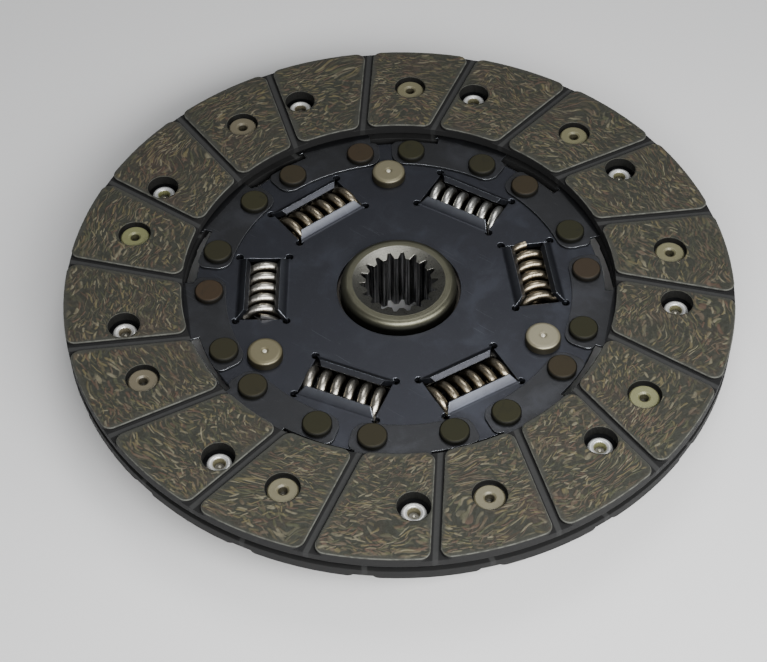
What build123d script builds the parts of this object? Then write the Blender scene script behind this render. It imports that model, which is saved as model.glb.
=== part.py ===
from build123d import *
from math import asin, atan2, cos, degrees, hypot, radians, sin
import os

"""Clutch friction disc, 200 x 130 mm, with a sprung hub.

The origin is on the hub axis, half way between the two facings. +Z points out of the
front, the side that carries the segment feet. Lengths are in millimetres and angles in
degrees, measured counter-clockwise from +X and seen from the front.

From the outside in: two riveted friction facings, nine waved cushion segments, the disc
plate that the segments are riveted to, six damper springs held in windows of the disc
plate, the retainer plate and the hub flange, three stop pins that join the two plates
and limit the hub's turn, and a splined hub with its friction washers.
"""

# ---------------------------------------------------------------- driving dimensions
# Friction facings
facing_outer_radius = 100.0
facing_inner_radius = 65.0
facing_thickness = 3.5
cushion_gap = 2.4  # between the facings with the segments relaxed
groove_count = 18
groove_width = 2.6
groove_depth = 1.2
groove_offset = 15.0  # how far each groove's line passes from the axis
groove_direction = 3.0  # direction of the first groove's line
pad_corner_radius = 3.0
pad_edge = 0.3  # bevel round the top of each pad

# Facing rivets, one set with its heads in front and one with its heads behind
facing_rivet_count = 9
front_head_angle = 83.5
rear_head_angle = 68.9
facing_rivet_radius = 2.0
facing_rivet_bore_radius = 1.3
facing_head_radius = 4.4
facing_head_thickness = 1.0
facing_mouth_radius = 1.9  # rolled-in mouth of the rivet's bore
facing_mouth_depth = 0.5
facing_web = 1.2  # facing left under a rivet head
facing_tail_radius = 3.1
facing_tail_height = 1.7
facing_tail_edge = 0.5
facing_rivet_outset = 0.3  # rivet circle beyond the middle of the facing
counterbore_clearance = 0.6
tail_hole_clearance = 1.7

# Cushion segments
segment_count = 9
segment_thickness = 0.7
foot_centre_angle = 70.3
foot_half_angle = 18.0
foot_width = 10.0
foot_inner_corner = 4.4
foot_outer_corner = 2.4
neck_centre_angle = 64.5
neck_half_angle = 10.0
slot_width = 2.5  # tangential slots on each side of the neck
paddle_half_angle = 19.3
paddle_overhang = 0.5  # paddle showing inside the facing
paddle_margin = 1.5  # facing beyond the paddle's rim
paddle_corner = 4.0
joggle_margin = 1.5  # from the foot's rim to the bend between foot and paddle level
joggle_length = 4.5
wave_start = 2.0  # bend between the two levels of the paddle,
wave_length = 11.0  # measured across it from its middle
wave_inset = 5.5  # inner edge of the paddle's upper half, from the lower half's

# Segment rivets
segment_rivet_half_angle = 11.8
segment_rivet_radius = 2.5
segment_head_radius = 4.35
segment_head_height = 1.6
segment_tail_radius = 3.8
segment_tail_height = 1.4
head_edge = 0.45  # rounding of the rivet heads

# Disc plate and retainer plate
plate_thickness = 1.8
plate_bore_radius = 18.7
plate_step_back = 0.5  # segment foot standing past the plate's rim
retainer_rim = 3.7  # retainer plate outside the spring windows

# Damper springs and their windows
spring_pair_angle = 33.9  # window centre to stop pin
spring_radius = 6.5
spring_length = 24.2
spring_wire_radius = 1.4
spring_turns = 5.75
spring_end_clearance = 0.12
spring_side_clearance = 0.35
window_to_foot = 3.1  # plate between a window's lip and the foot
lip_bend_radius = 1.2
lip_angle = 45.0
lip_length = 2.6  # straight part past the bend
lip_taper = 3.0  # how much shorter each end is at the tip
lip_outset = 1.4  # bend line beyond the side of the spring
relief_radius = 1.2
relief_inset = 0.3  # from the lips' bend lines
relief_outset = 0.5  # from the ends of the window

# Stop pins
pin_count = 3
pin_angle = 90.0
pin_outset = 6.1  # pin circle beyond the springs' middles
pin_radius = 4.0
pin_neck_radius = 3.0
pin_head_radius = 5.3
pin_head_height = 2.7
pin_head_edge = 1.2
pin_tail_radius = 4.8
pin_tail_height = 1.8
pin_dimple_radius = 1.2
pin_dimple_depth = 0.4
pin_pip_radius = 0.5  # pip left in the middle of the dimple
pin_pip_height = 0.35
stop_angle = 6.0  # hub turn each way
stop_clearance = 0.3

# Hub
hub_outer_radius = 17.5
hub_front_height = 3.3  # above the mid-plane
hub_length = 23.7
hub_front_edge = 2.0
hub_rear_edge = 1.0
flange_thickness = 3.6
flange_rim = 3.4  # flange outside its spring windows
window_corner = 0.5
spline_count = 18
spline_minor_radius = 9.95
spline_major_radius = 11.8
spline_root_width = 0.8
spline_land = 1.25  # width of a tooth's tip
spline_angle = 0.7
mouth_radius = 14.0
mouth_depth = 1.3
rear_mouth_edge = 1.0
notch_rim_radius = 60.0  # notches are cut past the flange's rim

# Friction washers and the disc spring that loads them
washer_outer_radius = 29.0
washer_bore_clearance = 0.5
front_washer_thickness = 1.4
rear_washer_thickness = 0.7
disc_spring_thickness = 0.4
disc_spring_height = 0.7
disc_spring_outer_radius = 27.0
running_gap = 0.1  # between the flange and each washer
hole_clearance = 0.1  # rivets and pins in their holes

# ---------------------------------------------------------------- places worked out
# Levels
facing_face = cushion_gap / 2 + facing_thickness
pad_level = facing_face - groove_depth
head_seat = cushion_gap / 2 + facing_web
paddle_level = (cushion_gap - segment_thickness) / 2
plate_front = -segment_thickness / 2
plate_back = plate_front - plate_thickness
flange_front = plate_back - front_washer_thickness - running_gap
spring_level = flange_front - flange_thickness / 2
flange_back = flange_front - flange_thickness
washer_back = flange_back - running_gap - rear_washer_thickness
retainer_front = washer_back - disc_spring_height
retainer_back = retainer_front - plate_thickness
hub_back = hub_front_height - hub_length

# Radii
facing_rivet_circle = (facing_outer_radius + facing_inner_radius) / 2 + facing_rivet_outset
paddle_inner_radius = facing_inner_radius - paddle_overhang
paddle_outer_radius = facing_outer_radius - paddle_margin
foot_outer_radius = paddle_inner_radius - slot_width
foot_inner_radius = foot_outer_radius - foot_width
segment_rivet_circle = (foot_outer_radius + foot_inner_radius) / 2
plate_outer_radius = foot_outer_radius - plate_step_back
joggle_start = foot_outer_radius + joggle_margin

# Windows, each with its centre on a line from the axis and its length across that line
lip_offset = spring_radius + lip_outset
spring_circle = foot_inner_radius - window_to_foot - lip_offset
window_half_length = spring_length / 2 + spring_end_clearance
flange_window_half_width = spring_radius + spring_side_clearance
window_corner_radius = hypot(window_half_length, spring_circle + flange_window_half_width)
flange_outer_radius = window_corner_radius + flange_rim
retainer_outer_radius = hypot(window_half_length, spring_circle + lip_offset) + retainer_rim
pin_circle = spring_circle + pin_outset
pin_angles = [pin_angle + 360 / pin_count * i for i in range(pin_count)]
window_angles = [a + side * spring_pair_angle for a in pin_angles for side in (-1, 1)]
segment_rivet_angles = [
    foot_centre_angle + side * segment_rivet_half_angle + 360 / segment_count * i
    for i in range(segment_count)
    for side in (-1, 1)
]

# Turning a facing over about this line in its plane swaps the two sets of rivet holes.
turn_over_axis = Axis(
    (0, 0, 0),
    (
        cos(radians((front_head_angle + rear_head_angle) / 2)),
        sin(radians((front_head_angle + rear_head_angle) / 2)),
        0,
    ),
)


def polar(radius, angle):
    """Point at a radius and an angle in the XY plane."""
    return (radius * cos(radians(angle)), radius * sin(radians(angle)))


def ring_sector(inner_radius, outer_radius, centre_angle, half_angle):
    """Closed outline of a piece of a ring, drawn in the current sketch."""
    start = centre_angle - half_angle
    with BuildLine() as outline:
        outer = CenterArc((0, 0), outer_radius, start, 2 * half_angle)
        inner = CenterArc((0, 0), inner_radius, start, 2 * half_angle)
        Line(outer @ 0, inner @ 0)
        Line(outer @ 1, inner @ 1)
    return make_face(outline.edges())


def save(part, name):
    """Label a finished piece and write it as one STEP file."""
    part.label = name
    export_step(part, f"parts/{name}.step")


os.makedirs("parts", exist_ok=True)

# ---------------------------------------------------------------- friction facings
with BuildPart() as front_facing:
    with BuildSketch(Plane.XY.offset(cushion_gap / 2)):
        Circle(facing_outer_radius)
        Circle(facing_inner_radius, mode=Mode.SUBTRACT)
    extrude(amount=facing_thickness - groove_depth)
    # raised pads, with the grooves between them and their corners rounded
    with BuildSketch(Plane.XY.offset(pad_level)) as pads:
        Circle(facing_outer_radius)
        Circle(facing_inner_radius, mode=Mode.SUBTRACT)
        with PolarLocations(0, groove_count, groove_direction):
            with Locations((0, groove_offset)):
                Rectangle(
                    2 * facing_outer_radius,
                    groove_width,
                    align=(Align.MIN, Align.CENTER),
                    mode=Mode.SUBTRACT,
                )
        fillet(pads.vertices(), pad_corner_radius)
    extrude(amount=groove_depth - pad_edge)
    # the pads' tops draw in by their bevel
    bevel_foot = Location((0, 0, groove_depth - pad_edge))
    extrude(pads.sketch.moved(bevel_foot), amount=pad_edge, taper=45)
    # counterbores for this facing's own rivets
    with BuildSketch(Plane.XY.offset(head_seat)):
        with PolarLocations(facing_rivet_circle, facing_rivet_count, front_head_angle):
            Circle(facing_head_radius + counterbore_clearance)
    extrude(amount=facing_thickness, mode=Mode.SUBTRACT)
    with BuildSketch(Plane.XY):
        with PolarLocations(facing_rivet_circle, facing_rivet_count, front_head_angle):
            Circle(facing_rivet_radius + hole_clearance)
        # clear holes over the tails of the other facing's rivets
        with PolarLocations(facing_rivet_circle, facing_rivet_count, rear_head_angle):
            Circle(facing_tail_radius + tail_hole_clearance)
    extrude(amount=facing_face, mode=Mode.SUBTRACT)

with BuildPart() as rear_facing:
    add(front_facing.part.rotate(turn_over_axis, 180))

save(front_facing.part, "front_facing")
save(rear_facing.part, "rear_facing")

# ---------------------------------------------------------------- facing rivets
tail_seat = paddle_level - segment_thickness / 2
with BuildPart() as facing_rivet:
    with BuildSketch(Plane.XZ):
        with BuildLine():
            Polyline(
                (facing_rivet_bore_radius, tail_seat),
                (facing_rivet_bore_radius, head_seat + facing_head_thickness - facing_mouth_depth),
                (facing_mouth_radius, head_seat + facing_head_thickness),
                (facing_head_radius - head_edge, head_seat + facing_head_thickness),
                (facing_head_radius, head_seat + facing_head_thickness - head_edge),
                (facing_head_radius, head_seat),
                (facing_rivet_radius, head_seat),
                (facing_rivet_radius, tail_seat),
                (facing_tail_radius, tail_seat),
                (facing_tail_radius - facing_tail_edge, tail_seat - facing_tail_height),
                (facing_rivet_bore_radius + facing_tail_edge, tail_seat - facing_tail_height),
                close=True,
            )
        make_face()
    revolve(axis=Axis.Z)

with BuildPart() as front_facing_rivets:
    with PolarLocations(facing_rivet_circle, facing_rivet_count, front_head_angle):
        add(facing_rivet.part)

with BuildPart() as rear_facing_rivets:
    add(front_facing_rivets.part.rotate(turn_over_axis, 180))

save(front_facing_rivets.part, "front_facing_rivets")
save(rear_facing_rivets.part, "rear_facing_rivets")

# ---------------------------------------------------------------- cushion segments
# Each segment's paddle carries the rear facing on its lower half and the front facing on
# its upper half. The foot and the neck lie at the level between them.
paddle_angle = (front_head_angle - 360 / segment_count + rear_head_angle) / 2
neck_plane = Plane(
    origin=(0, 0, 0),
    x_dir=(*polar(1, neck_centre_angle), 0),
    z_dir=(*polar(1, neck_centre_angle - 90), 0),
)
paddle_plane = Plane(
    origin=(0, 0, 0),
    x_dir=(*polar(1, paddle_angle - 90), 0),
    z_dir=(*polar(-1, paddle_angle), 0),
)


def sheet_section(points):
    """Section of the sheet along a line of (distance, level) points, in the current sketch."""
    half = segment_thickness / 2
    upper = [(x, level + half) for x, level in points]
    lower = [(x, level - half) for x, level in reversed(points)]
    with BuildLine() as outline:
        Polyline(*upper, *lower, close=True)
    return make_face(outline.edges())


with BuildPart() as segment_root:
    with BuildSketch(neck_plane):
        sheet_section(
            [
                (0, 0),
                (joggle_start, 0),
                (joggle_start + joggle_length, -paddle_level),
                (facing_outer_radius, -paddle_level),
            ]
        )
    extrude(amount=facing_outer_radius, both=True)
    with BuildSketch(Plane.XY.offset(-cushion_gap)) as root_outline:
        ring_sector(foot_inner_radius, foot_outer_radius, foot_centre_angle, foot_half_angle)
        corners = root_outline.vertices().group_by(lambda v: hypot(v.X, v.Y))
        fillet(corners[0], foot_inner_corner)
        corners = root_outline.vertices().group_by(lambda v: hypot(v.X, v.Y))
        fillet(corners[-1], foot_outer_corner)
        # neck between the slots
        ring_sector(
            foot_outer_radius - slot_width,
            paddle_inner_radius + slot_width,
            neck_centre_angle,
            neck_half_angle,
        )
        # lower half of the paddle
        ring_sector(
            paddle_inner_radius,
            paddle_outer_radius,
            paddle_angle + paddle_half_angle / 2,
            paddle_half_angle / 2,
        )
        corners = root_outline.vertices().group_by(lambda v: hypot(v.X, v.Y))
        fillet(corners[-1].sort_by(lambda v: atan2(v.Y, v.X))[-1], paddle_corner)
    extrude(amount=2 * cushion_gap, mode=Mode.INTERSECT)

with BuildPart() as segment_wave:
    with BuildSketch(paddle_plane):
        sheet_section(
            [
                (-wave_start, -paddle_level),
                (wave_start, -paddle_level),
                (wave_start + wave_length, paddle_level),
                (facing_outer_radius, paddle_level),
            ]
        )
    extrude(amount=-facing_outer_radius)
    with BuildSketch(Plane.XY.offset(-cushion_gap)) as wave_outline:
        ring_sector(
            paddle_inner_radius + wave_inset, paddle_outer_radius, paddle_angle, paddle_half_angle
        )
        corners = wave_outline.vertices().group_by(lambda v: hypot(v.X, v.Y))
        fillet(corners[-1], paddle_corner)
        fillet(wave_outline.vertices().sort_by(Axis.Y)[0], paddle_corner)
    extrude(amount=2 * cushion_gap, mode=Mode.INTERSECT)

with BuildPart() as cushion_segment:
    add(segment_root.part)
    add(segment_wave.part)
    with BuildSketch(Plane.XY.offset(-cushion_gap)):
        for side in (-1, 1):
            with Locations(
                polar(segment_rivet_circle, foot_centre_angle + side * segment_rivet_half_angle)
            ):
                Circle(segment_rivet_radius + hole_clearance)
        for angle in (rear_head_angle, front_head_angle - 360 / segment_count):
            with Locations(polar(facing_rivet_circle, angle)):
                Circle(facing_rivet_radius + hole_clearance)
    extrude(amount=2 * cushion_gap, mode=Mode.SUBTRACT)

for i in range(segment_count):
    segment = cushion_segment.part.rotate(Axis.Z, 360 / segment_count * i)
    save(segment, f"cushion_segment_{i + 1}")

# ---------------------------------------------------------------- segment rivets
with BuildPart() as segment_rivet:
    with BuildSketch(Plane.XY.offset(-plate_front)):
        Circle(segment_head_radius)
    extrude(amount=segment_head_height)
    chamfer(segment_rivet.faces().sort_by(Axis.Z)[-1].edges(), head_edge)
    with BuildSketch(Plane.XY.offset(plate_back)):
        Circle(segment_rivet_radius)
    extrude(amount=plate_thickness + segment_thickness)
    with BuildSketch(Plane.XY.offset(plate_back)):
        Circle(segment_tail_radius)
    extrude(amount=-segment_tail_height)
    chamfer(segment_rivet.faces().sort_by(Axis.Z)[0].edges(), head_edge)

with BuildPart() as segment_rivets:
    for angle in segment_rivet_angles:
        with Locations(polar(segment_rivet_circle, angle)):
            add(segment_rivet.part)

save(segment_rivets.part, "segment_rivets")

# ---------------------------------------------------------------- spring windows
# The lips of one window, drawn with its centre on +Y. They are bent up from the plate
# over the spring, and get shorter towards their tips.
lip_radius = lip_bend_radius + plate_thickness
bend_centre_level = plate_front + lip_bend_radius
with BuildPart() as window_lips:
    with BuildSketch(Plane.YZ) as lip_section:
        with BuildLine() as lip_outline:
            bend_centre = (spring_circle + lip_offset, bend_centre_level)
            under = CenterArc(bend_centre, lip_radius, 270, -lip_angle)
            over = CenterArc(bend_centre, lip_bend_radius, 270, -lip_angle)
            rise = (-lip_length * cos(radians(lip_angle)), lip_length * sin(radians(lip_angle)))
            Line(under @ 0, over @ 0)
            under_edge = Line(under @ 1, under @ 1 + rise)
            over_edge = Line(over @ 1, over @ 1 + rise)
            Line(under_edge @ 1, over_edge @ 1)
        make_face()
        mirror(about=Plane.YZ.offset(spring_circle))
    extrude(amount=window_half_length, both=True)
    lip_reach = lip_radius * sin(radians(lip_angle)) + lip_length * cos(radians(lip_angle))
    with BuildSketch(Plane.XY.offset(plate_back)):
        for side in (-1, 1):
            bend_line = spring_circle + side * lip_offset
            tip_line = bend_line - side * lip_reach
            base, tip = window_half_length, window_half_length - lip_taper
            with BuildLine() as plan:
                Polyline(
                    (-base, bend_line),
                    (base, bend_line),
                    (tip, tip_line),
                    (-tip, tip_line),
                    close=True,
                )
            make_face(plan.edges())
    extrude(amount=lip_reach + plate_thickness, mode=Mode.INTERSECT)


def cut_plate_openings():
    """Cut the stop pin holes and the six spring windows from the current sketch.

    Each window has a round relief hole at its corners, where its lips' bends end.
    """
    with PolarLocations(pin_circle, pin_count, pin_angle):
        Circle(pin_neck_radius + hole_clearance, mode=Mode.SUBTRACT)
    for angle in window_angles:
        with PolarLocations(spring_circle, 1, angle):
            Rectangle(2 * lip_offset, 2 * window_half_length, mode=Mode.SUBTRACT)
            with GridLocations(
                2 * (lip_offset - relief_inset), 2 * (window_half_length + relief_outset), 2, 2
            ):
                Circle(relief_radius, mode=Mode.SUBTRACT)


# ---------------------------------------------------------------- disc plate
with BuildPart() as disc_plate:
    with BuildSketch(Plane.XY.offset(plate_front)) as plate_outline:
        Circle(plate_outer_radius)
        Circle(plate_bore_radius, mode=Mode.SUBTRACT)
        for angle in segment_rivet_angles:
            with Locations(polar(segment_rivet_circle, angle)):
                Circle(segment_rivet_radius + hole_clearance, mode=Mode.SUBTRACT)
        cut_plate_openings()
    extrude(amount=-plate_thickness)
    for angle in window_angles:
        add(window_lips.part.rotate(Axis.Z, angle - 90))

save(disc_plate.part, "disc_plate")

# ---------------------------------------------------------------- retainer plate
with BuildPart() as retainer_plate:
    with BuildSketch(Plane.XY.offset(retainer_front)):
        Circle(retainer_outer_radius)
        Circle(plate_bore_radius, mode=Mode.SUBTRACT)
        cut_plate_openings()
    extrude(amount=-plate_thickness)
    rear_lips = mirror(window_lips.part, about=Plane.XY.offset(spring_level), mode=Mode.PRIVATE)
    for angle in window_angles:
        add(rear_lips.rotate(Axis.Z, angle - 90))

save(retainer_plate.part, "retainer_plate")

# ---------------------------------------------------------------- damper springs
# One spring standing on the origin, with its two ends ground flat.
with BuildPart() as damper_spring:
    with BuildLine() as coil:
        Helix(
            pitch=spring_length / spring_turns,
            height=spring_length,
            radius=spring_radius - spring_wire_radius,
        )
    with BuildSketch(Plane(origin=coil.line @ 0, z_dir=coil.line % 0)):
        Circle(spring_wire_radius)
    sweep()
    Cylinder(
        2 * spring_radius,
        spring_length,
        align=(Align.CENTER, Align.CENTER, Align.MIN),
        mode=Mode.INTERSECT,
    )

for i, angle in enumerate(window_angles):
    centre = Vector(*polar(spring_circle, angle), spring_level)
    along = Vector(*polar(1, angle + 90), 0)
    seat = Plane(origin=centre - along * (spring_length / 2), z_dir=along)
    save(seat.location * damper_spring.part, f"damper_spring_{i + 1}")

# ---------------------------------------------------------------- stop pins
with BuildPart() as stop_pin:
    with BuildSketch(Plane.XZ):
        with BuildLine():
            top = plate_front + pin_head_height
            edge_start = Line((pin_dimple_radius, top), (pin_head_radius - pin_head_edge, top))
            edge = CenterArc(edge_start @ 1 - (0, pin_head_edge), pin_head_edge, 90, -90)
            Polyline(
                edge @ 1,
                (pin_head_radius, plate_front),
                (pin_neck_radius, plate_front),
                (pin_neck_radius, plate_back),
                (pin_radius, plate_back),
                (pin_radius, retainer_front),
                (pin_neck_radius, retainer_front),
                (pin_neck_radius, retainer_back),
                (pin_tail_radius, retainer_back),
                (pin_tail_radius, retainer_back - pin_tail_height + head_edge),
                (pin_tail_radius - head_edge, retainer_back - pin_tail_height),
                (0, retainer_back - pin_tail_height),
                (0, top - pin_dimple_depth + pin_pip_height),
                (pin_pip_radius, top - pin_dimple_depth),
                (pin_dimple_radius, top),
            )
        make_face()
    revolve(axis=Axis.Z)

for i, angle in enumerate(pin_angles):
    x, y = polar(pin_circle, angle)
    save(stop_pin.part.translate((x, y, 0)), f"stop_pin_{i + 1}")

# ---------------------------------------------------------------- hub
stop_reach = degrees(asin((pin_radius + stop_clearance) / pin_circle))
notch_half_angle = stop_angle + stop_reach
groove_mouth_angle = 360 / spline_count - degrees(spline_land / spline_minor_radius)
mouth_x, mouth_y = polar(spline_minor_radius, groove_mouth_angle / 2)
with BuildPart() as hub:
    with BuildSketch(Plane.XY.offset(hub_back)):
        Circle(hub_outer_radius)
    extrude(amount=hub_length)
    fillet(hub.faces().sort_by(Axis.Z)[-1].edges(), hub_front_edge)
    chamfer(hub.faces().sort_by(Axis.Z)[0].edges(), hub_rear_edge)
    with BuildSketch(Plane.XY.offset(flange_back)):
        Circle(flange_outer_radius)
        for angle in window_angles:
            with PolarLocations(spring_circle, 1, angle):
                RectangleRounded(
                    2 * flange_window_half_width,
                    2 * window_half_length,
                    window_corner,
                    mode=Mode.SUBTRACT,
                )
        # notches for the stop pins, open at the rim
        for angle in pin_angles:
            with BuildLine() as notch:
                floor = CenterArc(
                    (0, 0),
                    pin_circle - pin_radius - stop_clearance,
                    angle - notch_half_angle,
                    2 * notch_half_angle,
                )
                rim = CenterArc(
                    (0, 0), notch_rim_radius, angle - notch_half_angle, 2 * notch_half_angle
                )
                Line(floor @ 0, rim @ 0)
                Line(floor @ 1, rim @ 1)
            make_face(notch.edges(), mode=Mode.SUBTRACT)
    extrude(amount=flange_thickness)
    # bore, then the spline grooves between the teeth, then the mouths
    with BuildSketch(Plane.XY.offset(hub_back)):
        Circle(spline_minor_radius)
        with PolarLocations(0, spline_count, spline_angle):
            Polygon(
                (0, 0),
                (mouth_x, -mouth_y),
                (spline_major_radius, -spline_root_width / 2),
                (spline_major_radius, spline_root_width / 2),
                (mouth_x, mouth_y),
                align=None,
            )
    extrude(amount=hub_length, mode=Mode.SUBTRACT)
    with BuildSketch(Plane.XZ):
        with BuildLine():
            Polyline(
                (0, hub_front_height),
                (mouth_radius, hub_front_height),
                (spline_minor_radius, hub_front_height - mouth_depth),
                (0, hub_front_height - mouth_depth),
                close=True,
            )
        make_face()
        with BuildLine():
            Polyline(
                (0, hub_back),
                (spline_major_radius + rear_mouth_edge, hub_back),
                (spline_major_radius, hub_back + rear_mouth_edge),
                (0, hub_back + rear_mouth_edge),
                close=True,
            )
        make_face()
    revolve(axis=Axis.Z, mode=Mode.SUBTRACT)

save(hub.part, "hub")

# ---------------------------------------------------------------- washers
with BuildPart() as front_friction_washer:
    with BuildSketch(Plane.XY.offset(plate_back)):
        Circle(washer_outer_radius)
        Circle(hub_outer_radius + washer_bore_clearance, mode=Mode.SUBTRACT)
    extrude(amount=-front_washer_thickness)

with BuildPart() as rear_friction_washer:
    with BuildSketch(Plane.XY.offset(washer_back)):
        Circle(washer_outer_radius)
        Circle(hub_outer_radius + washer_bore_clearance, mode=Mode.SUBTRACT)
    extrude(amount=rear_washer_thickness)

with BuildPart() as disc_spring:
    with BuildSketch(Plane.XZ):
        inner = hub_outer_radius + washer_bore_clearance
        with BuildLine():
            Polyline(
                (inner, washer_back - disc_spring_thickness),
                (inner, washer_back),
                (disc_spring_outer_radius, retainer_front + disc_spring_thickness),
                (disc_spring_outer_radius, retainer_front),
                close=True,
            )
        make_face()
    revolve(axis=Axis.Z)

save(front_friction_washer.part, "front_friction_washer")
save(rear_friction_washer.part, "rear_friction_washer")
save(disc_spring.part, "disc_spring")
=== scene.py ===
"""Finishes, small formed pieces, floor and light of a sprung clutch disc."""

import logging
import math
from collections.abc import Sequence
from dataclasses import dataclass, field
from enum import Enum
from functools import partialmethod

import bpy
from mathutils import Euler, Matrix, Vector


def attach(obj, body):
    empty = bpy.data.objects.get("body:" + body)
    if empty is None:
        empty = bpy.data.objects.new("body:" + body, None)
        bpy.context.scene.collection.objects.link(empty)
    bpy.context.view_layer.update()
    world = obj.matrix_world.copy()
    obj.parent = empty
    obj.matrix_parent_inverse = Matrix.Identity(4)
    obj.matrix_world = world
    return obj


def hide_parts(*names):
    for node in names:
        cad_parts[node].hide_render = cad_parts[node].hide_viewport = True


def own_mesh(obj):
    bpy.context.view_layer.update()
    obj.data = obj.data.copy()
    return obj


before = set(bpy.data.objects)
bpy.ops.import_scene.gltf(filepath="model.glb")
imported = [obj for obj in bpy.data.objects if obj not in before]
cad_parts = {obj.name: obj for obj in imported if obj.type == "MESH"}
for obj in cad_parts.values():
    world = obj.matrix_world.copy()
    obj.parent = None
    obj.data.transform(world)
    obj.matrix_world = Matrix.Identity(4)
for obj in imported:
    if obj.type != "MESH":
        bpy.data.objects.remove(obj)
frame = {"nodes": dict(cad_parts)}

logging.basicConfig(level=logging.INFO, format="%(message)s")
log = logging.getLogger("clutch_disc")

MM = 0.001
HALVES = (0.5, 0.5, 0.5)
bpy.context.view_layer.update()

Piece = bpy.types.Object
Material = bpy.types.Material
Node = bpy.types.Node
Socket = bpy.types.NodeSocket
Value = float | Sequence[float] | Socket
Colour = tuple[float, float, float]


class Side(Enum):
    """Which side of the disc a piece faces."""

    FRONT = 1
    REAR = -1


def around(circle: float, angle: float, height: float) -> Vector:
    """Find a point on a circle round the axis.

    Args:
        circle: the circle's radius.
        angle: the point's angle in degrees.
        height: its height.

    Returns:
        The point, in the same unit.
    """
    turn = math.radians(angle)
    return Vector((circle * math.cos(turn), circle * math.sin(turn), height))


# node wiring
class Wiring:
    """Adds nodes to one tree and joins them."""

    def __init__(self, tree: bpy.types.NodeTree) -> None:
        """Keep the tree that the nodes go into.

        Args:
            tree: node tree of a material or of a group.
        """
        self.tree = tree

    def feed(self, socket: Socket, value: Value) -> None:
        """Link a socket to another one, or set its own value.

        Args:
            socket: input to feed.
            value: output socket to link, or a plain number, vector or colour.
        """
        if isinstance(value, Socket):
            self.tree.links.new(value, socket)
        else:
            socket.default_value = value

    def node(
        self, kind: str, feeds: dict[str | int, Value] | None = None, **settings
    ) -> Node:
        """Add a shader node.

        Args:
            kind: node type without its ShaderNode prefix.
            feeds: values for its inputs, by name or number.
            **settings: properties of the node.

        Returns:
            The new node.
        """
        made = self.tree.nodes.new("ShaderNode" + kind)
        for name, value in settings.items():
            setattr(made, name, value)
        for name, value in (feeds or {}).items():
            self.feed(made.inputs[name], value)
        return made

    def math(self, operation: str, *values: Value) -> Socket:
        """Add a Math node.

        Args:
            operation: Blender's name for the operation.
            *values: its inputs.

        Returns:
            Its output.
        """
        return self.node("Math", dict(enumerate(values)), operation=operation).outputs[0]

    def times(self, first: Value, *others: Value) -> Socket:
        """Multiply numbers.

        Args:
            first: the first number.
            *others: what it is multiplied by, in turn.

        Returns:
            Their product.
        """
        for other in others:
            first = self.math("MULTIPLY", first, other)
        return first

    plus = partialmethod(math, "ADD")
    minus = partialmethod(math, "SUBTRACT")
    over = partialmethod(math, "DIVIDE")
    line = partialmethod(math, "MULTIPLY_ADD")  # value, slope, start

    def reach(self, x: Value, y: Value) -> Socket:
        """Measure how far a point of a plane is from the middle.

        Args:
            x: its first coordinate.
            y: its second coordinate.

        Returns:
            The distance.
        """
        return self.math("SQRT", self.plus(self.times(x, x), self.times(y, y)))

    def vector(self, operation: str, *values: Value, out: str = "Vector") -> Socket:
        """Add a Vector Math node.

        Args:
            operation: Blender's name for the operation.
            *values: its vector inputs.
            out: name of the output wanted.

        Returns:
            That output.
        """
        return self.node("VectorMath", dict(enumerate(values)), operation=operation).outputs[out]

    def scaled(self, vector: Value, factor: Value) -> Socket:
        """Multiply a vector by a number.

        Args:
            vector: the vector.
            factor: the number.

        Returns:
            The scaled vector.
        """
        return self.node("VectorMath", {0: vector, "Scale": factor}, operation="SCALE").outputs[0]

    def step(
        self, value: Value, low: Value, high: Value, to_low: float = 0.0, to_high: float = 1.0
    ) -> Socket:
        """Map a value smoothly from one span to another.

        Args:
            value: the value to map.
            low: where the change begins.
            high: where it ends.
            to_low: result before the change.
            to_high: result after it.

        Returns:
            The mapped value.
        """
        feeds = {0: value, 1: low, 2: high, 3: to_low, 4: to_high}
        return self.node("MapRange", feeds, interpolation_type="SMOOTHSTEP").outputs[0]

    def blend(self, factor: Value, first: Value, second: Value, how: str = "MIX") -> Socket:
        """Mix two colours.

        Args:
            factor: share of the second colour.
            first: first colour.
            second: second colour.
            how: blending mode.

        Returns:
            The mixed colour.
        """
        one, other = ((*c, 1.0) if isinstance(c, tuple) else c for c in (first, second))
        feeds = {0: factor, 6: one, 7: other}
        return self.node("Mix", feeds, data_type="RGBA", blend_type=how).outputs[2]

    def ramp(
        self, value: Value, stops: Sequence[tuple[float, Colour]], hard: bool = False
    ) -> Socket:
        """Turn a value into a colour.

        Args:
            value: number between 0 and 1.
            stops: places and their colours.
            hard: step from one colour to the next.

        Returns:
            The colour.
        """
        made = self.node("ValToRGB", {0: value})
        band = made.color_ramp
        band.interpolation = "CONSTANT" if hard else "LINEAR"
        while len(band.elements) < len(stops):
            band.elements.new(1.0)
        for element, (place, colour) in zip(band.elements, stops):
            element.position = place
            element.color = (*colour, 1.0)
        return made.outputs[0]

    def parts(self, vector: Value) -> tuple[Socket, Socket, Socket]:
        """Split a vector into its three parts.

        Args:
            vector: the vector.

        Returns:
            Its x, y and z.
        """
        return tuple(self.node("SeparateXYZ", {0: vector}).outputs)

    def noise(
        self, place: Value, scale: Value, detail: float = 3.0, rough: float = 0.5
    ) -> Node:
        """Add a Noise Texture.

        Args:
            place: coordinates.
            scale: features per unit of length.
            detail: number of finer layers.
            rough: strength of the finer layers.

        Returns:
            The node, with a value first and a colour second.
        """
        feeds = {"Vector": place, "Scale": scale, "Detail": detail, "Roughness": rough}
        return self.node("TexNoise", feeds)


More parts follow.
